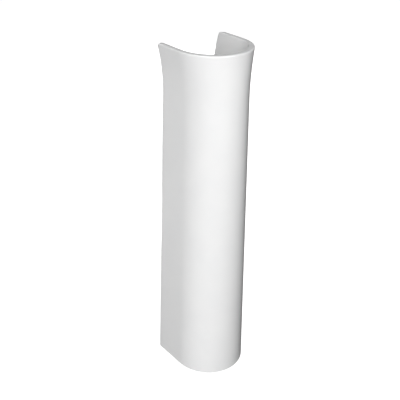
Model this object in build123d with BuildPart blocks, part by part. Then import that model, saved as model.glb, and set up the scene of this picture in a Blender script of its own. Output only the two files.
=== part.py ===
from build123d import *
import os

# Pedestal for a wash basin: a D-shaped china column with an open back, and the fixings of its foot.
# Millimetres. +Z is up and the foot stands on z = 0. The rounded nose points to -Y, the open back to +Y.
# The origin is the middle of the foot. Left is -X and right is +X, as seen from in front of the nose.

# The column's outside at its foot, its waist and its rim
HEIGHT = 680.0
WAIST_HEIGHT = 585.0
FOOT_HALF_WIDTH = 74.0
WAIST_HALF_WIDTH = 64.0
RIM_HALF_WIDTH = 77.0
FOOT_DEPTH = 152.0
WAIST_DEPTH = 142.5
RIM_DEPTH = 140.0
FOOT_NOSE = 76.0
RIM_NOSE = 76.5
BACK_Y = FOOT_DEPTH / 2

# The china wall
WALL = 11.0
WALL_OVERLAP = 5.0
BACK_EDGE_RADIUS = 4.0
RIM_EDGE_RADIUS = 2.5
FOOT_EDGE_RADIUS = 1.5
FLARE_SECTIONS = 5

# The china webs in the foot, which the brackets bolt to
WEB_FRONT_Y = 28.0
WEB_THICKNESS = 14.0
WEB_REACH_X = 28.0
WEB_LOW_Z = 3.0
WEB_HEIGHT = 69.0
WEB_CORNER_RADIUS = 14.0
WEB_EDGE_RADIUS = 2.5
WEB_HOLE_DIAMETER = 12.0

# The china bridge that ties the two sides together at the back
BRIDGE_FRONT_Y = 48.0
BRIDGE_THICKNESS = 14.0
BRIDGE_LOW_Z = 300.0
BRIDGE_HEIGHT = 36.0
BRIDGE_EDGE_RADIUS = 4.0

# The fixings of one side: an M8 bolt and lock nut, through a steel bracket and a china web
BOLT_X = 45.0
BOLT_Z = 44.0
BOLT_DIAMETER = 8.0
BOLT_LENGTH = 35.0
BOLT_HEAD_HEIGHT = 5.3
BOLT_TIP_CHAMFER = 1.0
ACROSS_FLATS = 13.0
HEXAGON_FACE_DIAMETER = 12.4
HEXAGON_CHAMFER_ANGLE = 60.0
FIT_CLEARANCE = 0.05
STEEL_WASHER_BORE = 8.4
STEEL_WASHER_DIAMETER = 20.0
STEEL_WASHER_THICKNESS = 1.6
RUBBER_WASHER_BORE = 8.6
RUBBER_WASHER_DIAMETER = 22.0
RUBBER_WASHER_THICKNESS = 2.0
WASHER_EDGE_RADIUS = 0.4
SLEEVE_BORE = 8.3
SLEEVE_CHAMFER = 0.5

# The lock nut: a hexagon, then a round collar that holds the nylon ring under its rolled lip
NUT_HEXAGON_HEIGHT = 5.6
NUT_COLLAR_DIAMETER = 11.8
NUT_COLLAR_HEIGHT = 2.4
NUT_LIP = 0.4
NUT_LIP_BORE = 9.0
INSERT_DIAMETER = 10.4
INSERT_HEIGHT = 2.2

# The steel angle bracket, which lies on the floor behind the web
BRACKET_THICKNESS = 3.0
BRACKET_WIDTH = 26.0
BRACKET_HEIGHT = 62.0
BRACKET_BACK_GAP = 2.0
BRACKET_BEND_RADIUS = 3.0
BRACKET_CORNER_RADIUS = 5.0
BRACKET_SLOT_LENGTH = 16.0
BRACKET_SLOT_WIDTH = 9.0
FLOOR_HOLE_DIAMETER = 9.0
FLOOR_HOLE_FROM_END = 10.0

# The face that each piece along the bolt seats on, from the back to the front
WEB_BACK_Y = WEB_FRONT_Y + WEB_THICKNESS
BRACKET_FRONT_Y = WEB_BACK_Y + RUBBER_WASHER_THICKNESS
BRACKET_BACK_Y = BRACKET_FRONT_Y + BRACKET_THICKNESS
HEAD_SEAT_Y = BRACKET_BACK_Y + STEEL_WASHER_THICKNESS
FRONT_WASHER_Y = WEB_FRONT_Y - RUBBER_WASHER_THICKNESS
NUT_SEAT_Y = FRONT_WASHER_Y - STEEL_WASHER_THICKNESS
SIDES = {"left": -1, "right": 1}


def outside_at(z):
    """Half width, depth and nose length of the outside at height z: a straight taper, then a flare."""
    taper = z / WAIST_HEIGHT
    rim_taper = HEIGHT / WAIST_HEIGHT
    flare = max(0.0, (z - WAIST_HEIGHT) / (HEIGHT - WAIST_HEIGHT)) ** 2
    width_change = WAIST_HALF_WIDTH - FOOT_HALF_WIDTH
    depth_change = WAIST_DEPTH - FOOT_DEPTH
    rim_width_gain = RIM_HALF_WIDTH - FOOT_HALF_WIDTH - width_change * rim_taper
    rim_depth_gain = RIM_DEPTH - FOOT_DEPTH - depth_change * rim_taper
    half_width = FOOT_HALF_WIDTH + width_change * taper + rim_width_gain * flare
    depth = FOOT_DEPTH + depth_change * taper + rim_depth_gain * flare
    nose = FOOT_NOSE + (RIM_NOSE - FOOT_NOSE) * z / HEIGHT
    return half_width, depth, nose


def wall_section(z):
    """The china wall cut at height z: a U with an elliptical nose and rounded back ends."""
    half_width, depth, nose = outside_at(z)
    nose_y = BACK_Y - depth + nose
    inner = half_width - WALL
    with BuildSketch(Plane.XY.offset(z)) as section:
        with BuildLine():
            Line((half_width, BACK_Y), (half_width, nose_y))
            EllipticalCenterArc((0, nose_y), half_width, nose, start_angle=0, arc_size=-180)
            Line((-half_width, nose_y), (-half_width, BACK_Y))
            Line((-half_width, BACK_Y), (-inner, BACK_Y))
            Line((-inner, BACK_Y), (-inner, nose_y))
            EllipticalCenterArc((0, nose_y), inner, nose - WALL, start_angle=180, arc_size=180)
            Line((inner, nose_y), (inner, BACK_Y))
            Line((inner, BACK_Y), (half_width, BACK_Y))
        make_face()
        fillet(section.vertices().group_by(Axis.Y)[-1], BACK_EDGE_RADIUS)
    return section.sketch


def facing_front(side, y):
    """A plane across the bolt's axis at y, which looks to the front, with its middle on the axis."""
    return Plane(origin=(side * BOLT_X, y, BOLT_Z), x_dir=(1, 0, 0), z_dir=(0, -1, 0))


def column_body():
    """The straight, tapering part of the wall, from the foot to the waist."""
    with BuildPart() as body:
        loft([wall_section(0), wall_section(WAIST_HEIGHT)], ruled=True)
        fillet(body.faces().sort_by(Axis.Z)[0].edges(), FOOT_EDGE_RADIUS)
    return body.part


def column_flare():
    """The part of the wall that opens out at the sides, from the waist to the rim."""
    step = (HEIGHT - WAIST_HEIGHT) / (FLARE_SECTIONS - 1)
    with BuildPart() as flare:
        loft([wall_section(WAIST_HEIGHT + i * step) for i in range(FLARE_SECTIONS)])
        fillet(flare.faces().sort_by(Axis.Z)[-1].edges(), RIM_EDGE_RADIUS)
    return flare.part


def foot_web(side):
    """A china web that reaches in from one side of the foot, with the bolt's hole through it."""
    wall_x = FOOT_HALF_WIDTH - WALL + WALL_OVERLAP
    width = wall_x - WEB_REACH_X
    middle_x = side * (WEB_REACH_X + width / 2)
    with BuildPart() as web:
        with BuildSketch(Plane(origin=(middle_x, WEB_BACK_Y, WEB_LOW_Z + WEB_HEIGHT / 2), z_dir=(0, -1, 0))):
            Rectangle(WEB_HEIGHT, width)
        extrude(amount=WEB_THICKNESS)
        top_edges = web.edges().filter_by(Axis.Y).group_by(Axis.Z)[-1]
        fillet(top_edges.sort_by_distance((0, WEB_FRONT_Y, WEB_HEIGHT))[0], WEB_CORNER_RADIUS)
        fillet(web.faces().filter_by(Axis.Y).edges(), WEB_EDGE_RADIUS)
        with BuildSketch(facing_front(side, WEB_BACK_Y)):
            Circle(WEB_HOLE_DIAMETER / 2)
        extrude(amount=WEB_THICKNESS, mode=Mode.SUBTRACT)
    return web.part


def back_bridge():
    """The china bar across the open back."""
    half_width = outside_at(BRIDGE_LOW_Z)[0] - WALL + WALL_OVERLAP
    middle = (0, BRIDGE_FRONT_Y + BRIDGE_THICKNESS / 2, BRIDGE_LOW_Z + BRIDGE_HEIGHT / 2)
    with BuildPart() as bridge:
        with Locations(middle):
            Box(2 * half_width, BRIDGE_THICKNESS, BRIDGE_HEIGHT)
        fillet(bridge.edges().filter_by(Axis.X), BRIDGE_EDGE_RADIUS)
    return bridge.part


def make_shell():
    """The whole column: one piece of china."""
    with BuildPart() as shell:
        add(column_body())
        add(column_flare())
        add(foot_web(SIDES["left"]))
        add(foot_web(SIDES["right"]))
        add(back_bridge())
    return shell.part


def make_washer(side, y, bore, diameter, thickness):
    """A flat ring whose back face is at y, with rounded outer edges."""
    with BuildPart() as washer:
        with BuildSketch(facing_front(side, y)):
            Circle(diameter / 2)
            Circle(bore / 2, mode=Mode.SUBTRACT)
        extrude(amount=thickness)
        fillet(washer.faces().sort_by(SortBy.AREA)[-1].outer_wire().edges(), WASHER_EDGE_RADIUS)
    return washer.part


def make_sleeve(side):
    """The nylon tube that fills the web's hole around the bolt."""
    with BuildPart() as sleeve:
        with BuildSketch(facing_front(side, WEB_BACK_Y)):
            Circle(WEB_HOLE_DIAMETER / 2 - FIT_CLEARANCE)
            Circle(SLEEVE_BORE / 2, mode=Mode.SUBTRACT)
        extrude(amount=WEB_THICKNESS)
        chamfer(sleeve.edges().filter_by(GeomType.CIRCLE).group_by(SortBy.RADIUS)[-1], SLEEVE_CHAMFER)
    return sleeve.part


def make_bolt(side):
    """A hexagon bolt: its head at the back, its tip in the chase in front of the nut."""
    with BuildPart() as bolt:
        with BuildSketch(facing_front(side, HEAD_SEAT_Y + BOLT_HEAD_HEIGHT)):
            RegularPolygon(ACROSS_FLATS / 2, 6, major_radius=False)
        extrude(amount=BOLT_HEAD_HEIGHT)
        with BuildSketch(facing_front(side, HEAD_SEAT_Y + BOLT_HEAD_HEIGHT)):
            Circle(HEXAGON_FACE_DIAMETER / 2)
        extrude(amount=BOLT_HEAD_HEIGHT, taper=-HEXAGON_CHAMFER_ANGLE, mode=Mode.INTERSECT)
        with BuildSketch(facing_front(side, HEAD_SEAT_Y)):
            Circle(BOLT_DIAMETER / 2)
        extrude(amount=BOLT_LENGTH)
        chamfer(bolt.faces().sort_by(Axis.Y)[0].edges(), BOLT_TIP_CHAMFER)
    return bolt.part


def make_lock_nut(side):
    """A hexagon lock nut with a round collar, hollow under its lip for the nylon ring."""
    collar_y = NUT_SEAT_Y - NUT_HEXAGON_HEIGHT
    lip_y = collar_y - NUT_COLLAR_HEIGHT
    with BuildPart() as nut:
        with BuildSketch(facing_front(side, NUT_SEAT_Y)):
            RegularPolygon(ACROSS_FLATS / 2, 6, major_radius=False)
        extrude(amount=NUT_HEXAGON_HEIGHT)
        with BuildSketch(facing_front(side, NUT_SEAT_Y)):
            Circle(HEXAGON_FACE_DIAMETER / 2)
        extrude(amount=NUT_HEXAGON_HEIGHT, taper=-HEXAGON_CHAMFER_ANGLE, mode=Mode.INTERSECT)
        with BuildSketch(facing_front(side, collar_y)):
            Circle(HEXAGON_FACE_DIAMETER / 2)
        extrude(amount=-NUT_HEXAGON_HEIGHT, taper=-HEXAGON_CHAMFER_ANGLE, mode=Mode.INTERSECT)
        with BuildSketch(facing_front(side, collar_y)):
            Circle(NUT_COLLAR_DIAMETER / 2)
        extrude(amount=NUT_COLLAR_HEIGHT)
        with BuildSketch(facing_front(side, NUT_SEAT_Y)):
            Circle(BOLT_DIAMETER / 2 + FIT_CLEARANCE)
        extrude(amount=NUT_HEXAGON_HEIGHT, mode=Mode.SUBTRACT)
        with BuildSketch(facing_front(side, lip_y + NUT_LIP + INSERT_HEIGHT + FIT_CLEARANCE)):
            Circle(INSERT_DIAMETER / 2 + FIT_CLEARANCE)
        extrude(amount=INSERT_HEIGHT + FIT_CLEARANCE, mode=Mode.SUBTRACT)
        with BuildSketch(facing_front(side, collar_y)):
            Circle(NUT_LIP_BORE / 2)
        extrude(amount=NUT_COLLAR_HEIGHT, mode=Mode.SUBTRACT)
    return nut.part


def make_nut_insert(side):
    """The nylon ring that grips the bolt inside the nut's collar."""
    lip_y = NUT_SEAT_Y - NUT_HEXAGON_HEIGHT - NUT_COLLAR_HEIGHT
    with BuildPart() as insert:
        with BuildSketch(facing_front(side, lip_y + NUT_LIP + INSERT_HEIGHT)):
            Circle(INSERT_DIAMETER / 2)
            Circle(BOLT_DIAMETER / 2 + FIT_CLEARANCE, mode=Mode.SUBTRACT)
        extrude(amount=INSERT_HEIGHT)
    return insert.part


def make_bracket(side):
    """A bent steel angle: an upright leg with a slot for the bolt, and a floor leg with a screw hole."""
    end_y = BACK_Y - BRACKET_BACK_GAP
    with BuildPart() as bracket:
        with BuildSketch(Plane.YZ.offset(side * BOLT_X - BRACKET_WIDTH / 2)) as profile:
            with BuildLine():
                Polyline(
                    (BRACKET_FRONT_Y, BRACKET_HEIGHT),
                    (BRACKET_FRONT_Y, 0),
                    (end_y, 0),
                    (end_y, BRACKET_THICKNESS),
                    (BRACKET_BACK_Y, BRACKET_THICKNESS),
                    (BRACKET_BACK_Y, BRACKET_HEIGHT),
                    close=True,
                )
            make_face()
            bend_outside = profile.vertices().sort_by_distance((BRACKET_FRONT_Y, 0))[0]
            fillet(bend_outside, BRACKET_BEND_RADIUS + BRACKET_THICKNESS)
            bend_inside = profile.vertices().sort_by_distance((BRACKET_BACK_Y, BRACKET_THICKNESS))[0]
            fillet(bend_inside, BRACKET_BEND_RADIUS)
        extrude(amount=BRACKET_WIDTH)
        fillet(bracket.edges().filter_by(Axis.Y).group_by(Axis.Z)[-1], BRACKET_CORNER_RADIUS)
        fillet(bracket.edges().filter_by(Axis.Z).group_by(Axis.Y)[-1], BRACKET_CORNER_RADIUS)
        with BuildSketch(facing_front(side, BRACKET_BACK_Y)):
            SlotOverall(BRACKET_SLOT_LENGTH, BRACKET_SLOT_WIDTH, rotation=90)
        extrude(amount=BRACKET_THICKNESS, mode=Mode.SUBTRACT)
        with BuildSketch(Plane((side * BOLT_X, end_y - FLOOR_HOLE_FROM_END, 0))):
            Circle(FLOOR_HOLE_DIAMETER / 2)
        extrude(amount=BRACKET_THICKNESS, mode=Mode.SUBTRACT)
    return bracket.part


def make_steel_washer(side, y):
    """A plain steel washer whose back face is at y."""
    return make_washer(side, y, STEEL_WASHER_BORE, STEEL_WASHER_DIAMETER, STEEL_WASHER_THICKNESS)


def make_rubber_washer(side, y):
    """A soft washer whose back face is at y."""
    return make_washer(side, y, RUBBER_WASHER_BORE, RUBBER_WASHER_DIAMETER, RUBBER_WASHER_THICKNESS)


def save(piece, name):
    """Name a finished piece and write it to its own file."""
    piece.label = name
    export_step(piece, f"parts/{name}.step")


os.makedirs("parts", exist_ok=True)
save(make_shell(), "pedestal_shell")
for word, side in SIDES.items():
    save(make_bracket(side), f"floor_bracket_{word}")
    save(make_bolt(side), f"bracket_bolt_{word}")
    save(make_steel_washer(side, HEAD_SEAT_Y), f"steel_washer_rear_{word}")
    save(make_rubber_washer(side, BRACKET_FRONT_Y), f"rubber_washer_rear_{word}")
    save(make_sleeve(side), f"nylon_sleeve_{word}")
    save(make_rubber_washer(side, WEB_FRONT_Y), f"rubber_washer_front_{word}")
    save(make_steel_washer(side, FRONT_WASHER_Y), f"steel_washer_front_{word}")
    save(make_lock_nut(side), f"lock_nut_{word}")
    save(make_nut_insert(side), f"lock_nut_insert_{word}")
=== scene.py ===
import math

import bmesh
import bpy
from mathutils import Matrix, Vector


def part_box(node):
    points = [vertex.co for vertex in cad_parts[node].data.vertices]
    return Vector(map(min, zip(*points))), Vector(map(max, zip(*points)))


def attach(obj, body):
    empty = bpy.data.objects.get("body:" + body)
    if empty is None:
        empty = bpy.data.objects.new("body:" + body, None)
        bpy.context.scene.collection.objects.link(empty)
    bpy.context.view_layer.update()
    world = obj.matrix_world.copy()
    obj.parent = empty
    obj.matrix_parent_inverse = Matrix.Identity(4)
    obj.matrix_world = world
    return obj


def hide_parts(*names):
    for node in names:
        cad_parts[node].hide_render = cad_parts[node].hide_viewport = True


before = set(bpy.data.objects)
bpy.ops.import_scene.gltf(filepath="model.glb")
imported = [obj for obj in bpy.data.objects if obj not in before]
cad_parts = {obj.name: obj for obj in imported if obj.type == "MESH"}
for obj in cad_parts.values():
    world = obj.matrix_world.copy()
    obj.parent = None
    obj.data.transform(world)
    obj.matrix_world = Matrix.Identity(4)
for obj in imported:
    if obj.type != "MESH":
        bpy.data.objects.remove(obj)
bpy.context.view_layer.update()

# A china pedestal for a wash basin. Metres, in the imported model's own frame: +Z is up, the rounded nose
# points to -Y, the open back to +Y, and the foot stands on z = 0. Left is -X, seen from in front.
MM = 0.001
SIDES = {"left": -1, "right": 1}

# ---------------------------------------------------------------- the camera
CAMERA_PLACE = Vector((-801.43, -963.98, 1025.18)) * MM
CAMERA_AZIMUTH = -38.70
CAMERA_ELEVATION = 27.53
CAMERA_ROLL = 1.35
CAMERA_LENS_MM = 64.70

# ---------------------------------------------------------------- the china's sizes, as in the CAD model
HEIGHT = 680 * MM
WAIST_HEIGHT = 585 * MM
FOOT_HALF_WIDTH = 74 * MM
WAIST_HALF_WIDTH = 64 * MM
RIM_HALF_WIDTH = 77 * MM
FOOT_DEPTH = 152 * MM
WAIST_DEPTH = 142.5 * MM
RIM_DEPTH = 140 * MM
FOOT_NOSE = 76 * MM
RIM_NOSE = 76.5 * MM
BACK_Y = FOOT_DEPTH / 2
WALL = 11 * MM
BACK_EDGE_RADIUS = 4 * MM
FOOT_EDGE_RADIUS = 1.5 * MM

# The rim's roundings, along its two faces and at its two back ends: these are finer than the CAD's
RIM_OUTSIDE_RADIUS = 3 * MM
RIM_INSIDE_RADIUS = 0.9 * MM
RIM_END_OUTSIDE_RADIUS = 9 * MM
RIM_END_INSIDE_RADIUS = 5 * MM

# The webs and the bridge between their low and high corners in (y, z), seen along X
WEB_LOW = Vector((28, 3)) * MM
WEB_HIGH = Vector((42, 72)) * MM
WEB_REACH_X = 28 * MM
WEB_TOP_CORNER = 14 * MM
WEB_LOW_CORNER = 5 * MM
WEB_HOLE_RADIUS = 6 * MM
BRIDGE_LOW = Vector((48, 300)) * MM
BRIDGE_HIGH = Vector((62, 336)) * MM
BOLT_X = 45 * MM
BOLT_Z = 44 * MM

# Inside, the glaze reaches down to this height, and in from the open back to this depth. The gain makes it
# whole some way below the rim.
GLAZED_TO_Z = 400 * MM
GLAZED_TO_Y = 34 * MM
GLAZE_GAIN = 1.6
# Past the inner wall, whose points lie on 1, a point is on the outside
OUTSIDE_LIMIT = 1.01
# Between these heights the glaze is wiped off the foot
WIPED_HEIGHTS = (0.85 * MM, 1.15 * MM)

# ---------------------------------------------------------------- how finely the china is divided
BACK_CORNER_STEPS = 6
BACK_STEPS = 2
FRONT_STEPS = 4
NOSE_STEPS = 44
FOOT_ROUND_STEPS = 4
LOW_WALL_STEPS = 12
HIGH_WALL_STEPS = 14
FLARE_STEPS = 18
RIM_END_STEPS = 6
RIM_ROUND_STEPS = 8
RIM_LINE_SHIFT = 14 * MM
COVE_STEPS = 6
HALF_CORNER_STEPS = 3
BRIDGE_STEPS = 14
WEB_BOTTOM_STEPS = 7
WEB_LOW_CORNER_STEPS = 4
WEB_END_STEPS = 9
WEB_TOP_CORNER_STEPS = 6
WEB_TOP_STEPS = 6
# The cells of a web face's grid that the ring round its hole takes up: from the wall, and upwards
HOLE_COLUMNS = (1, 7)
HOLE_ROWS = (6, 11)

# ---------------------------------------------------------------- the fixings' sizes
TURN_STEPS = 48
SHARP_ANGLE = 25
BOLT_RADIUS = 4 * MM
BOLT_HEAD_HEIGHT = 5.3 * MM
WASHER_FACE = 0.4 * MM
WASHER_FACE_RADIUS = 5.9 * MM
ACROSS_FLATS = 13 * MM
HEXAGON_FACE_RADIUS = 6.2 * MM
HEXAGON_SLOPE = math.tan(math.radians(30))
THREAD_PITCH = 1.25 * MM
THREAD_DEPTH = 0.767 * MM
THREAD_CREST = 0.125
THREAD_ROOT = 0.25
THREAD_ROWS = 8
THREAD_FROM_HEAD = 0.8 * MM
THREAD_FROM_TIP = 0.9 * MM
TIP_THREAD_SHARE = 0.45
UNDER_HEAD_RADIUS = 0.3 * MM
SMALL_CHAMFER = 0.1 * MM
NUT_HEXAGON_HEIGHT = 5.6 * MM
NUT_COLLAR_RADIUS = 5.9 * MM
NUT_COLLAR_STEP = 0.2 * MM
NUT_ROLL_RADIUS = 0.7 * MM
NUT_ROLL_STEPS = 6
NUT_LIP = 0.4 * MM
NUT_LIP_BORE_RADIUS = 4.5 * MM
NUT_BORE_RADIUS = 4.05 * MM
NUT_BORE_CHAMFER = 0.4 * MM
NUT_CAVITY_RADIUS = 5.25 * MM
NUT_CAVITY_END = 2.65 * MM
STEEL_BORE_RADIUS = 4.2 * MM
STEEL_ROUNDING = 0.25 * MM
RUBBER_BORE_RADIUS = 4.3 * MM
RUBBER_ROUNDING = 0.3 * MM
RUBBER_BULGE = 0.2 * MM
RING_STEPS = 8

# ---------------------------------------------------------------- the stage and its light
FLOOR_RADII = (0.25, 0.6, 1.5, 3.0, 6.0)
SWEEP_RADIUS = 3.0
SWEEP_STEPS = 12
BACKDROP_HEIGHT = 9.0
FLOOR_TURN_STEPS = 96
FLOOR_GLOW = 0.97
LIGHT_AIM_Z = 0.35
SURROUND = 0.1
FLOOR_BOUNCE = 0.27
# Azimuth, elevation, distance, size (m), power (W) and whether it shows in reflections
LIGHTS = {
    "key": (-45, 15, 2.4, 2.0, 12.5, True),
    "key_soft": (-45, 15, 2.6, 2.0, 22, False),
    "front_top": (0, 40, 2.4, 2.0, 23.5, True),
    "overhead": (0, 88, 2.4, 2.0, 18, False),
    "left_low": (-75, -10, 2.4, 2.0, 16, False),
    "back": (180, 5, 2.4, 2.0, 27, False),
    "back_right": (150, 5, 2.4, 2.0, 20, False),
    "back_top": (135, 45, 2.4, 2.0, 10, False),
}
# A small card low behind the foot, which the hidden fixings reflect
CARD_PLACE = Vector((0.05, 0.5, 0.09))
CARD_SIZE = (0.5, 0.14)
CARD_POWER = 0.7


def add_object(name, data):
    """A new object for this data, linked into the scene."""
    made = bpy.data.objects.new(name, data)
    bpy.context.scene.collection.objects.link(made)
    return made


def direction_to(azimuth, elevation):
    """The direction out to an azimuth and elevation in degrees. Azimuth 0 is in front of the nose."""
    azimuth, elevation = math.radians(azimuth), math.radians(elevation)
    level = math.cos(elevation)
    return Vector((math.sin(azimuth) * level, -math.cos(azimuth) * level, math.sin(elevation)))


def make_camera():
    """The camera at the product view: above, in front and to the left of the column."""
    back = direction_to(CAMERA_AZIMUTH, CAMERA_ELEVATION)
    camera = add_object("camera", bpy.data.cameras.new("camera"))
    camera.data.lens = CAMERA_LENS_MM
    camera.location = CAMERA_PLACE
    camera.rotation_mode = "QUATERNION"
    roll = Matrix.Rotation(math.radians(CAMERA_ROLL), 3, "Z").to_quaternion()
    camera.rotation_quaternion = (-back).to_track_quat("-Z", "Y") @ roll
    bpy.context.scene.camera = camera


def mix(a, b, share):
    """The value that is this share of the way from a to b."""
    return a + (b - a) * share


def ease(share):
    """A share held between 0 and 1, with a soft start and end."""
    share = min(1.0, max(0.0, share))
    return share * share * (3 - 2 * share)


def spread(start, end, steps):
    """Evenly spaced values from start to end, both included."""
    return [mix(start, end, i / steps) for i in range(steps + 1)]


# ---------------------------------------------------------------- the china column
def outside_at(z):
    """Half width, depth and nose length of the outside at height z: a straight taper, then a flare."""
    taper = z / WAIST_HEIGHT
    rim_taper = HEIGHT / WAIST_HEIGHT
    flare = max(0.0, (z - WAIST_HEIGHT) / (HEIGHT - WAIST_HEIGHT)) ** 2
    width_change = WAIST_HALF_WIDTH - FOOT_HALF_WIDTH
    depth_change = WAIST_DEPTH - FOOT_DEPTH
    rim_width_gain = RIM_HALF_WIDTH - FOOT_HALF_WIDTH - width_change * rim_taper
    rim_depth_gain = RIM_DEPTH - FOOT_DEPTH - depth_change * rim_taper
    half_width = FOOT_HALF_WIDTH + width_change * taper + rim_width_gain * flare
    depth = FOOT_DEPTH + depth_change * taper + rim_depth_gain * flare
    nose = FOOT_NOSE + (RIM_NOSE - FOOT_NOSE) * z / HEIGHT
    return half_width, depth, nose


def inside_x(z):
    """Half the width between the two straight inside walls at height z."""
    return outside_at(z)[0] - WALL


class Join:
    """Where a web or the bridge grows out of the inside wall, seen along X: a rounded rectangle in y and z.

    A cove widens it towards the wall. The wall's own grid has a rectangular opening round the cove, and the
    loops from the opening to the piece all have the same number of points, from the low back corner on.
    """

    def __init__(self, low, high, edge, cove, cove_below, margin, steps):
        self.edge = edge
        self.cove = cove
        self.cove_below = cove_below
        self.steps = steps
        self.opening_low = low - Vector((cove + margin, cove_below + margin))
        self.opening_high = high + Vector((cove + margin, cove + margin))
        back, front = high.x - edge, low.x + edge
        bottom, top = low.y + edge, high.y - edge
        corners = [Vector(c) for c in ((back, bottom), (front, bottom), (front, top), (back, top))]
        outward = [Vector(n) for n in ((0, -1), (-1, 0), (0, 1), (1, 0))]
        self.points = []
        self.side_starts = []
        for side in range(4):
            here, there = corners[side], corners[(side + 1) % 4]
            before, normal, after = outward[side - 1], outward[side], outward[(side + 1) % 4]
            self.side_starts.append(len(self.points))
            turn = math.radians(45) / HALF_CORNER_STEPS
            for i in range(HALF_CORNER_STEPS):
                angle = math.radians(45) + turn * i
                self.points.append((here, before * math.cos(angle) + normal * math.sin(angle)))
            straight = steps[side % 2]
            for i in range(straight + 1):
                self.points.append((here.lerp(there, i / straight), normal))
            for i in range(1, HALF_CORNER_STEPS):
                angle = turn * i
                self.points.append((there, normal * math.cos(angle) + after * math.sin(angle)))

    def loop(self, widening):
        """The outline's (y, z) points: widening is 0 on the piece itself and 1 at the cove's far edge."""
        outline = []
        for centre, direction in self.points:
            cove_z = self.cove_below if direction.y < 0 else self.cove
            radius_y = self.edge + self.cove * widening
            radius_z = self.edge + cove_z * widening
            outline.append(Vector((centre.x + direction.x * radius_y, centre.y + direction.y * radius_z)))
        return outline

    def side_lines(self, side, axis):
        """Where the grid lines that start from one side of the opening stand, along y (0) or z (1)."""
        start = self.side_starts[side]
        count = self.steps[side % 2] + 2 * HALF_CORNER_STEPS
        lines = [p[axis] for p in self.loop(1.0)[start:start + count]]
        first, last = self.opening_low[axis], self.opening_high[axis]
        if lines[1] > lines[-1]:
            first, last = last, first
        return [first] + lines[1:] + [last]

    def straight_range(self, side):
        """Indices of a side's straight points, without its rounded corners."""
        start = self.side_starts[side] + HALF_CORNER_STEPS
        return list(range(start, start + self.steps[side % 2] + 1))


WEB_JOIN = Join(
    WEB_LOW, WEB_HIGH, edge=2.5 * MM, cove=6 * MM, cove_below=0.8 * MM, margin=0.4 * MM, steps=(2, 14)
)
BRIDGE_JOIN = Join(
    BRIDGE_LOW, BRIDGE_HIGH, edge=4 * MM, cove=7 * MM, cove_below=7 * MM, margin=0.6 * MM, steps=(2, 4)
)
# The lines round the wall that bound its openings, counted from the open back
FIRST_LINE = BACK_CORNER_STEPS + BACK_STEPS
LAST_LINE = FIRST_LINE + WEB_JOIN.steps[0] + 2 * HALF_CORNER_STEPS


def straight_ys(z, back_y, nose_y):
    """Where the wall's straight stretch is divided at height z, from the back corner to the nose. The lines
    lead past the webs and the bridge, and at the rim they leave room for its rounded tips."""
    share = ease((z - WEB_HIGH.y) / (BRIDGE_LOW.y - WEB_HIGH.y))
    by_webs = WEB_JOIN.side_lines(0, 0)
    by_bridge = BRIDGE_JOIN.side_lines(0, 0)
    bridge_end = BRIDGE_JOIN.opening_high.y
    shift = RIM_LINE_SHIFT * ease((z - bridge_end) / (WAIST_HEIGHT - bridge_end))
    join = [mix(a, b, share) - shift for a, b in zip(by_webs, by_bridge)]
    behind = spread(back_y, join[0], BACK_STEPS)[1:-1]
    ahead = spread(join[-1], nose_y, FRONT_STEPS)[1:-1]
    return behind + join + ahead


def wall_half(z, faces):
    """Right half of the wall's cut at height z, with the insets of its two faces and of their back ends:
    (outside, inside) points from the back end to the tip of the nose."""
    half_width, depth, nose = outside_at(z)
    nose_y = BACK_Y - depth + nose
    columns = []
    for (inset, end), face_x, way in zip(faces, (half_width, half_width - WALL), (-1, 1)):
        corner = BACK_EDGE_RADIUS - inset
        corner_x, corner_y = face_x + way * BACK_EDGE_RADIUS, BACK_Y - BACK_EDGE_RADIUS - end
        column = []
        for turn in spread(0, math.pi / 2, BACK_CORNER_STEPS):
            x = corner_x - way * corner * math.sin(turn)
            column.append((x, corner_y + inset + corner * math.cos(turn)))
        flat_x = face_x + way * inset
        column += [(flat_x, y) for y in straight_ys(z, corner_y, nose_y)]
        nose_length = nose + flat_x - half_width
        for turn in spread(0, math.pi / 2, NOSE_STEPS):
            column.append((flat_x * math.cos(turn), nose_y - nose_length * math.sin(turn)))
        columns.append(column)
    return list(zip(*columns))


def rounding(gap, radius):
    """How far an edge rounding of this radius has moved a face in, at this gap from the edge."""
    if gap >= radius:
        return 0.0
    return radius - math.sqrt(radius ** 2 - (radius - gap) ** 2)


def rim_faces(z):
    """The insets that wall_half takes, for the outside and the inside of the rim at height z."""
    gap = HEIGHT - z
    outside = rounding(gap, RIM_OUTSIDE_RADIUS), rounding(gap, RIM_END_OUTSIDE_RADIUS)
    inside = rounding(gap, RIM_INSIDE_RADIUS), rounding(gap, RIM_END_INSIDE_RADIUS)
    return outside, inside


def wall_levels():
    """The heights at which the wall is cut, from the foot's flat face to the rim's, each with the insets
    that wall_half takes."""
    levels = []
    for turn in spread(0, math.pi / 2, FOOT_ROUND_STEPS):
        inset = FOOT_EDGE_RADIUS * (1 - math.sin(turn))
        levels.append((FOOT_EDGE_RADIUS * (1 - math.cos(turn)), ((inset, inset), (inset, inset))))
    web_lines = WEB_JOIN.side_lines(1, 1)
    bridge_lines = BRIDGE_JOIN.side_lines(1, 1)
    rim_start = HEIGHT - RIM_END_OUTSIDE_RADIUS
    above = web_lines + spread(web_lines[-1], bridge_lines[0], LOW_WALL_STEPS)[1:-1] + bridge_lines
    above += spread(bridge_lines[-1], WAIST_HEIGHT, HIGH_WALL_STEPS)[1:]
    above += spread(WAIST_HEIGHT, rim_start, FLARE_STEPS)[1:-1]
    above += spread(rim_start, HEIGHT - RIM_OUTSIDE_RADIUS, RIM_END_STEPS)[:-1]
    for turn in spread(0, math.pi / 2, RIM_ROUND_STEPS):
        above.append(HEIGHT - RIM_OUTSIDE_RADIUS * (1 - math.sin(turn)))
    return levels + [(z, rim_faces(z)) for z in above]


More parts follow.
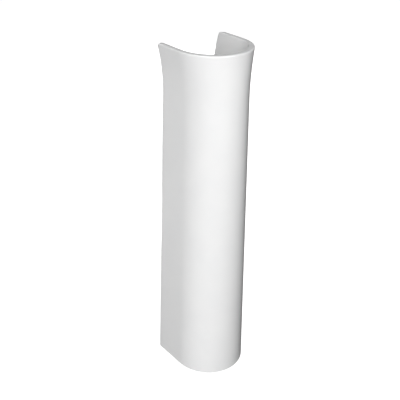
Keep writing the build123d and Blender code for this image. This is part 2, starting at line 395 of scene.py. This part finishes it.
def bridge_loops(mesh, near, far):
    """Quads between two loops of the same length."""
    for i in range(len(near)):
        mesh.faces.new((near[i - 1], near[i], far[i], far[i - 1]))


def bridge_rows(mesh, near, far):
    """Quads between two open rows of the same length."""
    for i in range(1, len(near)):
        mesh.faces.new((near[i - 1], near[i], far[i], far[i - 1]))


def make_wall(mesh, levels):
    """The wall's points and faces, with openings left for the webs and the bridge. Gives back the inside
    points by level and place round the wall."""
    rows = []
    for z, faces in levels:
        half = wall_half(z, faces)
        whole = half + [((-a[0], a[1]), (-b[0], b[1])) for a, b in half[-2::-1]]
        outside = [mesh.verts.new((a[0], a[1], z)) for a, b in whole]
        inside = [mesh.verts.new((b[0], b[1], z)) for a, b in whole]
        rows.append((outside, inside))
    heights = [level[0] for level in levels]
    last = len(rows[0][0]) - 1
    openings = []
    for join in (WEB_JOIN, BRIDGE_JOIN):
        lines = join.side_lines(1, 1)
        openings.append((heights.index(lines[0]), heights.index(lines[-1])))
    for row in range(len(rows) - 1):
        (low_out, low_in), (high_out, high_in) = rows[row], rows[row + 1]
        bridge_rows(mesh, low_out, high_out)
        for i in range(last):
            place = min(i, last - 1 - i)
            in_opening = any(a <= row < b for a, b in openings) and FIRST_LINE <= place < LAST_LINE
            if not in_opening:
                mesh.faces.new((low_in[i], low_in[i + 1], high_in[i + 1], high_in[i]))
        for end in (0, last):
            mesh.faces.new((low_out[end], low_in[end], high_in[end], high_out[end]))
    for outside, inside in (rows[0], rows[-1]):
        bridge_rows(mesh, outside, inside)
    return [inside for outside, inside in rows], heights


def opening_loop(inside, heights, join, side):
    """The wall's points round a join's opening, in the join's order."""
    lines = join.side_lines(1, 1)
    low, high = heights.index(lines[0]), heights.index(lines[-1])
    last = len(inside[0]) - 1
    columns = range(FIRST_LINE, LAST_LINE)
    forward = [i if side > 0 else last - i for i in columns]
    backward = [i + 1 if side > 0 else last - i - 1 for i in reversed(columns)]
    near, far = forward[0], backward[0]
    loop = [inside[low][i] for i in forward]
    loop += [inside[row][far] for row in range(low, high)]
    loop += [inside[high][i] for i in backward]
    loop += [inside[row][near] for row in range(high, low, -1)]
    return loop


def cove_loops(mesh, opening, join, side):
    """The cove from the wall's opening to the piece's own outline, whose loop is given back."""
    loop = opening
    for turn in spread(0, math.pi / 2, COVE_STEPS):
        stand_off = join.cove * (1 - math.cos(turn))
        new = []
        for y, z in join.loop(1 - math.sin(turn)):
            new.append(mesh.verts.new((side * (inside_x(z) - stand_off), y, z)))
        bridge_loops(mesh, loop, new)
        loop = new
    return loop


def make_bridge(mesh, inside, heights):
    """The china bar across the open back, with a cove at each end."""
    ends = {}
    for word, side in SIDES.items():
        opening = opening_loop(inside, heights, BRIDGE_JOIN, side)
        ends[word] = cove_loops(mesh, opening, BRIDGE_JOIN, side)
    loop = ends["left"]
    for step in range(1, BRIDGE_STEPS):
        share = step / BRIDGE_STEPS
        new = [mesh.verts.new(a.co.lerp(b.co, share)) for a, b in zip(ends["left"], ends["right"])]
        bridge_loops(mesh, loop, new)
        loop = new
    bridge_loops(mesh, loop, ends["right"])


def web_outline(wall_low, wall_high):
    """The web's outline seen from the front, from the wall round its free end and back: (x, z) on the line
    where the edge rounding starts, with the outward direction there."""
    edge = WEB_JOIN.edge
    low_z, high_z = WEB_LOW.y + edge, WEB_HIGH.y - edge
    end_x = WEB_REACH_X + edge
    small = WEB_LOW_CORNER - edge
    large = WEB_TOP_CORNER - edge
    down, inward, up = Vector((0, -1)), Vector((-1, 0)), Vector((0, 1))
    bottom = [(Vector((x, low_z)), down) for x in spread(wall_low, end_x + small, WEB_BOTTOM_STEPS)]
    for turn in spread(0, math.pi / 2, WEB_LOW_CORNER_STEPS)[1:-1]:
        normal = down * math.cos(turn) + inward * math.sin(turn)
        bottom.append((Vector((end_x + small, low_z + small)) + normal * small, normal))
    end = [(Vector((end_x, z)), inward) for z in spread(low_z + small, high_z - large, WEB_END_STEPS)]
    for turn in spread(0, math.pi / 2, WEB_TOP_CORNER_STEPS)[1:-1]:
        normal = inward * math.cos(turn) + up * math.sin(turn)
        end.append((Vector((end_x + large, high_z - large)) + normal * large, normal))
    top = [(Vector((x, high_z)), up) for x in spread(end_x + large, wall_high, WEB_TOP_STEPS)]
    return bottom + end + top


def make_web(mesh, inside, heights, side):
    """A web that reaches in from one side of the foot: two flat faces with a hole through them, and a
    rounded edge strip round its free sides."""
    opening = opening_loop(inside, heights, WEB_JOIN, side)
    root = cove_loops(mesh, opening, WEB_JOIN, side)
    front, back = WEB_JOIN.straight_range(1), WEB_JOIN.straight_range(3)
    front_root = [root[i] for i in front]
    back_root = [root[i] for i in reversed(back)]
    low_root = [root[i] for i in range(front[0], back[-1] - len(root) - 1, -1)]
    high_root = [root[i] for i in range(front[-1], back[0] + 1)]
    outline = web_outline(abs(front_root[0].co.x), abs(front_root[-1].co.x))

    # The edge strip, one row of points across the web's thickness for each station of its outline
    edge = WEB_JOIN.edge
    front_y, back_y = WEB_LOW.x + edge, WEB_HIGH.x - edge
    across = []
    for turn in spread(0, math.pi / 2, 2 * HALF_CORNER_STEPS):
        across.append((front_y - edge * math.cos(turn), edge * math.sin(turn)))
    across += [(y, edge) for y in spread(front_y, back_y, WEB_JOIN.steps[0])[1:-1]]
    for turn in spread(math.pi / 2, 0, 2 * HALF_CORNER_STEPS):
        across.append((back_y + edge * math.cos(turn), edge * math.sin(turn)))
    strip = [low_root]
    for place, normal in outline[1:-1]:
        row = []
        for y, out in across:
            point = place + normal * out
            row.append(mesh.verts.new((side * point.x, y, point.y)))
        strip.append(row)
    strip.append(high_root)
    for near, far in zip(strip, strip[1:]):
        bridge_rows(mesh, near, far)

    # The two faces: a grid between the wall and the free end, with a ring of faces round the hole
    up_count = WEB_JOIN.steps[1]
    in_count = (len(outline) - 1 - up_count) // 2
    rings = []
    for y, wall_column, column in ((WEB_LOW.x, front_root, 0), (WEB_HIGH.x, back_root, -1)):
        edge_points = [row[column] for row in strip]
        grid = face_grid(mesh, edge_points, wall_column, in_count, up_count, y)
        rings.append(face_with_hole(mesh, grid, side, y))
    bridge_loops(mesh, rings[0], rings[1])


def face_grid(mesh, edge_points, wall_column, in_count, up_count, y):
    """A web face's points, by place from the wall to the free end and then upwards. The inner ones are
    blended from the four sides."""
    low = edge_points[:in_count + 1]
    end = edge_points[in_count:in_count + up_count + 1]
    high = edge_points[:in_count + up_count - 1:-1]
    grid = []
    for i in range(in_count + 1):
        column = []
        for j in range(up_count + 1):
            if i == 0:
                column.append(wall_column[j])
            elif i == in_count:
                column.append(end[j])
            elif j == 0:
                column.append(low[i])
            elif j == up_count:
                column.append(high[i])
            else:
                s, t = i / in_count, j / up_count
                sides = wall_column[j].co.lerp(end[j].co, s) + low[i].co.lerp(high[i].co, t)
                corners = low[0].co.lerp(low[-1].co, s).lerp(high[0].co.lerp(high[-1].co, s), t)
                place = sides - corners
                column.append(mesh.verts.new((place.x, y, place.z)))
        grid.append(column)
    return grid


def face_with_hole(mesh, grid, side, y):
    """Fills a web face's grid with quads, except round the hole, whose ring of points is given back."""
    (first, last), (bottom, top) = HOLE_COLUMNS, HOLE_ROWS
    for i in range(len(grid) - 1):
        for j in range(len(grid[0]) - 1):
            if not (first <= i < last and bottom <= j < top):
                mesh.faces.new((grid[i][j], grid[i + 1][j], grid[i + 1][j + 1], grid[i][j + 1]))
    border = [grid[i][bottom] for i in range(first, last)]
    border += [grid[last][j] for j in range(bottom, top)]
    border += [grid[i][top] for i in range(last, first, -1)]
    border += [grid[first][j] for j in range(top, bottom, -1)]
    for i in range(first + 1, last):
        for j in range(bottom + 1, top):
            mesh.verts.remove(grid[i][j])
    centre = Vector((side * BOLT_X, y, BOLT_Z))
    ring = []
    for vertex in border:
        direction = (vertex.co - centre).normalized()
        ring.append(mesh.verts.new(centre + direction * WEB_HOLE_RADIUS))
    bridge_loops(mesh, border, ring)
    return ring


def finish_mesh(mesh, name, sharp_angle=None):
    """Turns a bmesh into an object with smooth faces, and with sharp edges where two faces meet at this
    many degrees or more. Points that no face uses are dropped."""
    bmesh.ops.delete(mesh, geom=[v for v in mesh.verts if not v.link_faces], context="VERTS")
    bmesh.ops.recalc_face_normals(mesh, faces=mesh.faces)
    for face in mesh.faces:
        face.smooth = True
    if sharp_angle:
        for edge in mesh.edges:
            edge.smooth = edge.calc_face_angle(0) < math.radians(sharp_angle)
    data = bpy.data.meshes.new(name)
    mesh.to_mesh(data)
    mesh.free()
    return add_object(name, data)


def glaze_reach(place):
    """How well the glazing spray reached a point: 1 outside and at the rim, fading down the deep inside."""
    half_width, depth, nose = outside_at(place.z)
    from_nose = max(0.0, BACK_Y - depth + nose - place.y) / (nose - WALL)
    across = abs(place.x) / (half_width - WALL)
    if math.hypot(across, from_nose) > OUTSIDE_LIMIT or place.y > BACK_Y - BACK_EDGE_RADIUS:
        return 1.0
    from_rim = ease((place.z - GLAZED_TO_Z) / (HEIGHT - GLAZED_TO_Z))
    from_back = ease((place.y - GLAZED_TO_Y) / (BACK_Y - GLAZED_TO_Y))
    return max(min(1.0, GLAZE_GAIN * from_rim), from_back)


def make_shell():
    """The whole column: one piece of china."""
    mesh = bmesh.new()
    levels = wall_levels()
    inside, heights = make_wall(mesh, levels)
    make_bridge(mesh, inside, heights)
    for side in SIDES.values():
        make_web(mesh, inside, heights, side)
    shell = finish_mesh(mesh, "china_column")
    reach = shell.data.attributes.new("glaze_reach", "FLOAT", "POINT")
    for vertex, value in zip(shell.data.vertices, reach.data):
        value.value = glaze_reach(vertex.co)
    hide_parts("pedestal_shell")
    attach(shell, "root")
    return shell


# ---------------------------------------------------------------- the fixings
def turned(name, rows, side, closed=False):
    """A piece turned about its bolt's axis. Each row gives (y, radius) for an angle, which runs from +X to
    +Z. A closed piece is a ring, and its last row joins its first."""
    mesh = bmesh.new()
    loops = []
    for row in rows:
        loop = []
        for step in range(TURN_STEPS):
            angle = 2 * math.pi * step / TURN_STEPS
            y, radius = row(angle)
            x = side * BOLT_X + radius * math.cos(angle)
            loop.append(mesh.verts.new((x, y, BOLT_Z + radius * math.sin(angle))))
        if loops:
            bridge_loops(mesh, loops[-1], loop)
        loops.append(loop)
    if closed:
        bridge_loops(mesh, loops[-1], loops[0])
    else:
        mesh.faces.new(loops[0])
        mesh.faces.new(loops[-1])
    return finish_mesh(mesh, name, sharp_angle=SHARP_ANGLE)


def circle(y, radius):
    """A round row at y."""
    return lambda angle: (y, radius)


def hexagon(y, slope=0.0):
    """A hexagonal row whose corners, past the flat face's circle, fall away from y by this slope."""
    def row(angle):
        radius = ACROSS_FLATS / 2 / math.cos(angle % math.radians(60) - math.radians(30))
        return y + slope * max(0.0, radius - HEXAGON_FACE_RADIUS), radius
    return row


def thread(y, start_y, share):
    """A row of the bolt's right-hand thread, whose depth is scaled by share."""
    def row(angle):
        phase = ((start_y - y) / THREAD_PITCH - angle / (2 * math.pi)) % 1
        flank = (abs(2 * phase - 1) - THREAD_CREST) / (1 - THREAD_ROOT - THREAD_CREST)
        return y, BOLT_RADIUS - THREAD_DEPTH * share * min(1.0, max(0.0, flank))
    return row


def make_bolt(side, word):
    """A hexagon bolt with a chamfered head, a washer face and a full-length thread."""
    low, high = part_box(f"bracket_bolt_{word}")
    seat = high.y - BOLT_HEAD_HEIGHT
    rows = [circle(high.y, HEXAGON_FACE_RADIUS), hexagon(high.y, -HEXAGON_SLOPE)]
    rows += [hexagon(seat + WASHER_FACE), circle(seat + WASHER_FACE, WASHER_FACE_RADIUS)]
    rows += [circle(seat, WASHER_FACE_RADIUS - SMALL_CHAMFER)]
    rows += [circle(seat, BOLT_RADIUS + UNDER_HEAD_RADIUS), circle(seat - UNDER_HEAD_RADIUS, BOLT_RADIUS)]
    start, end = seat - THREAD_FROM_HEAD, low.y + THREAD_FROM_TIP
    for y in spread(start, end, round((start - end) / THREAD_PITCH * THREAD_ROWS)):
        from_head, from_tip = ease((start - y) / THREAD_PITCH), ease((y - end) / THREAD_PITCH)
        rows.append(thread(y, start, from_head * mix(TIP_THREAD_SHARE, 1.0, from_tip)))
    rows.append(circle(low.y, BOLT_RADIUS - THREAD_DEPTH))
    return turned(f"bolt_{word}", rows, side)


def make_lock_nut(side, word):
    """A hexagon lock nut, chamfered at both ends, whose collar is rolled over the nylon ring."""
    low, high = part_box(f"lock_nut_{word}")
    collar = high.y - NUT_HEXAGON_HEIGHT
    cavity = low.y + NUT_CAVITY_END
    rows = [circle(high.y - NUT_BORE_CHAMFER, NUT_BORE_RADIUS)]
    rows += [circle(high.y, NUT_BORE_RADIUS + NUT_BORE_CHAMFER)]
    rows += [circle(high.y, HEXAGON_FACE_RADIUS), hexagon(high.y, -HEXAGON_SLOPE)]
    rows += [hexagon(collar, HEXAGON_SLOPE), circle(collar, HEXAGON_FACE_RADIUS)]
    rows += [circle(collar - NUT_COLLAR_STEP, NUT_COLLAR_RADIUS)]
    for turn in spread(0, math.pi / 2, NUT_ROLL_STEPS):
        y = low.y + NUT_ROLL_RADIUS * (1 - math.sin(turn))
        rows.append(circle(y, NUT_COLLAR_RADIUS - NUT_ROLL_RADIUS * (1 - math.cos(turn))))
    rows += [circle(low.y, NUT_LIP_BORE_RADIUS + SMALL_CHAMFER)]
    rows += [circle(low.y + SMALL_CHAMFER, NUT_LIP_BORE_RADIUS)]
    rows += [circle(low.y + NUT_LIP, NUT_LIP_BORE_RADIUS), circle(low.y + NUT_LIP, NUT_CAVITY_RADIUS)]
    rows += [circle(cavity, NUT_CAVITY_RADIUS), circle(cavity, NUT_BORE_RADIUS)]
    return turned(f"nut_{word}", rows, side, closed=True)


def make_ring(name, node, side, bore, rounding, bulge):
    """A washer in the place of a CAD washer, its edges rounded, and its rim and bore bulged by this much."""
    low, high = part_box(node)
    radius = (high.z - low.z) / 2 - bulge
    middle, half = (low.y + high.y) / 2, (high.y - low.y) / 2
    rows = []
    for wall, out in ((radius, 1), (bore + bulge, -1)):
        for turn in spread(-math.pi / 2, math.pi / 2, RING_STEPS):
            along = math.sin(turn) * out
            past = rounding * (1 - math.cos(turn))
            rows.append(circle(middle + along * half, wall + out * (bulge * math.cos(turn) - past)))
    return turned(name, rows, side, closed=True)


def make_fixings():
    """Every piece of the two bolted joints that is shown by a detailed mesh, with its material slot."""
    made = {}
    for word, side in SIDES.items():
        made[make_bolt(side, word)] = (f"bracket_bolt_{word}", "zinc_steel")
        made[make_lock_nut(side, word)] = (f"lock_nut_{word}", "zinc_steel")
        for place in ("rear", "front"):
            node = f"steel_washer_{place}_{word}"
            name = f"washer_{place}_{word}"
            ring = make_ring(name, node, side, STEEL_BORE_RADIUS, STEEL_ROUNDING, 0.0)
            made[ring] = (node, "zinc_steel")
            node = f"rubber_washer_{place}_{word}"
            name = f"rubber_{place}_{word}"
            ring = make_ring(name, node, side, RUBBER_BORE_RADIUS, RUBBER_ROUNDING, RUBBER_BULGE)
            made[ring] = (node, "black_rubber")
    for piece, (node, slot) in made.items():
        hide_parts(node)
        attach(piece, "root")
    return {piece: slot for piece, (node, slot) in made.items()}


# ---------------------------------------------------------------- the materials
class Surface:
    """A material's node tree, with short ways to add nodes. Textures use the object's own coordinates."""

    def __init__(self, name):
        self.material = bpy.data.materials.new(name)
        self.material.use_nodes = True
        self.tree = self.material.node_tree
        self.shader = self.tree.nodes["Principled BSDF"]
        self.place = self.add("TexCoord").outputs["Object"]

    def add(self, kind, inputs=None, **settings):
        """A new node. An input is a plain value, or another node's output to join to it."""
        node = self.tree.nodes.new("ShaderNode" + kind)
        for key, value in settings.items():
            setattr(node, key, value)
        for key, value in (inputs or {}).items():
            self.join(node.inputs[key], value)
        return node

    def join(self, socket, value):
        """Sets a socket to a plain value, or joins another node's output to it."""
        if isinstance(value, bpy.types.NodeSocket):
            self.tree.links.new(value, socket)
        else:
            socket.default_value = value

    def set(self, **values):
        """Sets or joins the shader's own inputs, named with underscores for spaces."""
        for key, value in values.items():
            self.join(self.shader.inputs[key.replace("_", " ")], value)

    def noise(self, size, detail=2.0, place=None):
        """Noise whose features are about this large, in metres."""
        inputs = {"Vector": place or self.place, "Scale": 1 / size, "Detail": detail}
        return self.add("TexNoise", inputs).outputs["Fac"]

    def ramp(self, value, start, end, low=0.0, high=1.0):
        """A value's range from start to end, turned into low to high and held there."""
        inputs = {0: value, 1: start, 2: end, 3: low, 4: high}
        node = self.add("MapRange", interpolation_type="SMOOTHSTEP")
        for key, plain in inputs.items():
            self.join(node.inputs[key], plain)
        return node.outputs[0]

    def math(self, operation, a, b):
        """Two values put together."""
        node = self.add("Math", operation=operation)
        self.join(node.inputs[0], a)
        self.join(node.inputs[1], b)
        return node.outputs[0]

    def blend(self, share, a, b):
        """A colour between a and b."""
        node = self.add("Mix", data_type="RGBA")
        self.join(node.inputs[0], share)
        self.join(node.inputs[6], a if isinstance(a, bpy.types.NodeSocket) else (*a, 1))
        self.join(node.inputs[7], b if isinstance(b, bpy.types.NodeSocket) else (*b, 1))
        return node.outputs[2]

    def bump(self, height, distance, below=None):
        """A normal raised by height, where 1 is this distance, in metres."""
        inputs = {"Height": height, "Distance": distance, "Strength": 1.0}
        if below:
            inputs["Normal"] = below
        return self.add("Bump", inputs).outputs["Normal"]


def china_material():
    """White vitreous glaze, which thins to dry china deep inside and is wiped off under the foot."""
    m = Surface("glazed_china")
    height = m.add("SeparateXYZ", {"Vector": m.place}).outputs["Z"]

    # Where the glaze is: everywhere that the spray reached, but not on the face that stood in the kiln
    reach = m.add("Attribute", attribute_name="glaze_reach").outputs["Fac"]
    fine, coarse = m.noise(1.6 * MM, 3.0), m.noise(22 * MM)
    speckle = m.math("ADD", m.math("MULTIPLY", fine, 0.9), m.math("MULTIPLY", coarse, 0.5))
    sprayed = m.ramp(m.math("ADD", reach, speckle), 1.12, 1.3)
    wobble = m.math("MULTIPLY", m.noise(9 * MM), 0.5 * MM)
    wiped = m.ramp(m.math("ADD", height, wobble), *WIPED_HEIGHTS)
    glaze = m.math("MULTIPLY", sprayed, wiped)

    # Colour: a faint cloudiness in the glaze, a warmer body where it is thin or absent
    cloud = m.ramp(m.noise(60 * MM, 3.0), 0.3, 0.7)
    glazed = m.blend(cloud, (0.862, 0.864, 0.866), (0.878, 0.879, 0.878))
    grain = m.ramp(m.noise(0.7 * MM, 4.0), 0.3, 0.7)
    bare = m.blend(grain, (0.74, 0.725, 0.69), (0.82, 0.81, 0.78))
    m.set(Base_Color=m.blend(glaze, bare, glazed))

    # Gloss: the glaze's own smooth coat over a body that scatters more
    haze = m.ramp(m.noise(35 * MM, 4.0), 0.3, 0.7, 0.30, 0.38)
    roughness = m.add("Mix", {0: glaze, 2: 0.72, 3: haze}).outputs[0]
    m.set(Roughness=roughness, Coat_Weight=glaze, Coat_Roughness=0.1, Coat_IOR=1.52, IOR=1.5)

    # Relief: slow ripples in the glaze, and grain where the china is bare
    ripple = m.bump(m.noise(14 * MM, 1.0), 0.035 * MM)
    bare_grain = m.math("MULTIPLY", m.noise(0.6 * MM, 3.0), m.math("SUBTRACT", 1.0, glaze))
    m.set(Normal=m.bump(bare_grain, 0.03 * MM, ripple), Coat_Normal=ripple)
    return m.material


def bracket_material():
    """Hot-dip galvanised steel: flat spangles of zinc, duller and brighter, with faint scuffs."""
    m = Surface("galvanised_steel")
    spangle = m.add("TexVoronoi", {"Vector": m.place, "Scale": 1 / (5 * MM)})
    tone = m.add("SeparateColor", {"Color": spangle.outputs["Color"]}).outputs[0]
    blotch = m.ramp(m.noise(12 * MM, 4.0), 0.35, 0.65)
    zinc = m.blend(tone, (0.48, 0.50, 0.52), (0.66, 0.67, 0.68))
    m.set(Base_Color=m.blend(m.math("MULTIPLY", blotch, 0.35), zinc, (0.58, 0.585, 0.58)))
    worn = m.ramp(m.noise(1.2 * MM, 4.0), 0.3, 0.7, 0.3, 0.42)
    m.set(Metallic=1.0, Roughness=m.math("ADD", m.math("MULTIPLY", tone, 0.16), worn))
    stretched = m.add("Mapping", {"Vector": m.place, "Scale": (1.0, 1.0, 0.05)}).outputs["Vector"]
    scuff = m.ramp(m.noise(0.35 * MM, 2.0, stretched), 0.62, 0.72)
    relief = m.math("ADD", m.noise(1.5 * MM, 3.0), m.math("MULTIPLY", scuff, 0.3))
    m.set(Normal=m.bump(relief, 0.05 * MM))
    return m.material


def zinc_material():
    """Satin zinc plating, with the faint blue and straw tints of its passivation."""
    m = Surface("zinc_plating")
    tint = m.ramp(m.noise(6 * MM, 2.0), 0.35, 0.65)
    m.set(Base_Color=m.blend(tint, (0.72, 0.735, 0.76), (0.78, 0.772, 0.745)))
    m.set(Metallic=1.0, Roughness=m.ramp(m.noise(1.5 * MM, 3.0), 0.3, 0.7, 0.36, 0.46))
    m.set(Normal=m.bump(m.noise(1.5 * MM, 1.0), 0.008 * MM))
    return m.material


def rubber_material():
    """Black rubber, matte, with a faint grey bloom."""
    m = Surface("black_rubber")
    bloom = m.ramp(m.noise(2.5 * MM, 5.0), 0.45, 0.75)
    m.set(Base_Color=m.blend(bloom, (0.018, 0.018, 0.019), (0.055, 0.055, 0.056)))
    m.set(Roughness=m.ramp(m.noise(1.0 * MM, 4.0), 0.3, 0.7, 0.62, 0.82))
    m.set(Normal=m.bump(m.noise(0.4 * MM, 3.0), 0.03 * MM))
    return m.material


def nylon_material(name, dark, light):
    """Moulded nylon: satin, slightly translucent, with faint flow marks."""
    m = Surface(name)
    m.set(Base_Color=m.blend(m.ramp(m.noise(3 * MM, 3.0), 0.35, 0.65), dark, light))
    m.set(Roughness=m.ramp(m.noise(1.5 * MM, 3.0), 0.3, 0.7, 0.34, 0.48))
    m.set(Subsurface_Weight=0.15, Subsurface_Radius=(1.0, 0.9, 0.8), Subsurface_Scale=0.5 * MM)
    m.set(Normal=m.bump(m.noise(0.6 * MM, 2.0), 0.02 * MM))
    return m.material


def paint_pieces(shell, fixings):
    """Gives every piece its material: the new meshes, and the CAD nodes that stay in view."""
    materials = {
        "white_china": china_material(),
        "bracket_steel": bracket_material(),
        "zinc_steel": zinc_material(),
        "black_rubber": rubber_material(),
        "white_nylon": nylon_material("white_nylon", (0.72, 0.70, 0.64), (0.80, 0.78, 0.73)),
        "insert_nylon": nylon_material("blue_nylon", (0.03, 0.12, 0.36), (0.06, 0.19, 0.47)),
    }
    shell.data.materials.append(materials["white_china"])
    for piece, slot in fixings.items():
        piece.data.materials.append(materials[slot])
    kept = {
        "floor_bracket": "bracket_steel",
        "nylon_sleeve": "white_nylon",
        "lock_nut_insert": "insert_nylon",
    }
    for start, slot in kept.items():
        for word in SIDES:
            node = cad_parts[f"{start}_{word}"]
            node.data.materials.clear()
            node.data.materials.append(materials[slot])


# ---------------------------------------------------------------- the stage and its light
def make_floor():
    """A plain pale floor that sweeps up into a backdrop all round. It shines by itself, so that it stays
    pale in every view, and it is left out of the light that falls on the object."""
    mesh = bmesh.new()
    loops = []
    profile = [(radius, 0.0) for radius in FLOOR_RADII]
    for turn in spread(0, math.pi / 2, SWEEP_STEPS)[1:]:
        radius = FLOOR_RADII[-1] + SWEEP_RADIUS * math.sin(turn)
        profile.append((radius, SWEEP_RADIUS * (1 - math.cos(turn))))
    profile.append((FLOOR_RADII[-1] + SWEEP_RADIUS, BACKDROP_HEIGHT))
    for radius, z in profile:
        loop = []
        for step in range(FLOOR_TURN_STEPS):
            angle = 2 * math.pi * step / FLOOR_TURN_STEPS
            loop.append(mesh.verts.new((radius * math.cos(angle), radius * math.sin(angle), z)))
        if loops:
            bridge_loops(mesh, loops[-1], loop)
        loops.append(loop)
    mesh.faces.new(loops[0])
    floor = finish_mesh(mesh, "floor")
    floor.visible_diffuse = False
    floor.visible_glossy = False
    floor.visible_shadow = False
    m = Surface("pale_floor")
    m.set(Base_Color=(0.3, 0.3, 0.3, 1), Roughness=0.9, Specular_IOR_Level=0.0)
    m.set(Emission_Color=(1, 1, 1, 1), Emission_Strength=FLOOR_GLOW)
    floor.data.materials.append(m.material)


def add_light(name, place, aim, size, power):
    """A soft rectangular light at a place, turned to its aim. The camera doesn't see it."""
    lamp = add_object(name, bpy.data.lights.new(name, "AREA"))
    lamp.data.shape = "RECTANGLE"
    lamp.data.size, lamp.data.size_y = size
    lamp.data.energy = power
    lamp.location = place
    lamp.rotation_mode = "QUATERNION"
    lamp.rotation_quaternion = (place - aim).to_track_quat("Z", "Y")
    lamp.visible_camera = False
    return lamp


def make_lights():
    """Plain soft light: large square lights round the column, and a dim surround that is brighter from
    below, as a pale floor makes it."""
    aim = Vector((0, 0, LIGHT_AIM_Z))
    for name, (azimuth, elevation, distance, size, power, in_reflections) in LIGHTS.items():
        away = direction_to(azimuth, elevation)
        lamp = add_light(name, aim + away * distance, aim, (size, size), power)
        lamp.visible_glossy = in_reflections
    add_light("card", CARD_PLACE, CARD_PLACE - Vector((0, 1, 0)), CARD_SIZE, CARD_POWER)

    world = bpy.data.worlds.new("surround")
    bpy.context.scene.world = world
    world.use_nodes = True
    tree = world.node_tree
    background = tree.nodes["Background"]
    background.inputs["Color"].default_value = (1, 1, 1, 1)
    direction = tree.nodes.new("ShaderNodeTexCoord").outputs["Generated"]
    height = tree.nodes.new("ShaderNodeSeparateXYZ")
    tree.links.new(direction, height.inputs[0])
    below = tree.nodes.new("ShaderNodeMapRange")
    tree.links.new(height.outputs["Z"], below.inputs[0])
    # From just under the horizon to just over it, the strength falls to the surround's own
    horizon = (-0.001, 0.001, SURROUND + FLOOR_BOUNCE, SURROUND)
    for socket, value in zip(list(below.inputs)[1:5], horizon):
        socket.default_value = value
    tree.links.new(below.outputs[0], background.inputs["Strength"])
    world.cycles_visibility.glossy = False
    bpy.context.scene.view_settings.view_transform = "Standard"


make_camera()
china_column = make_shell()
fixings = make_fixings()
paint_pieces(china_column, fixings)
make_floor()
make_lights()
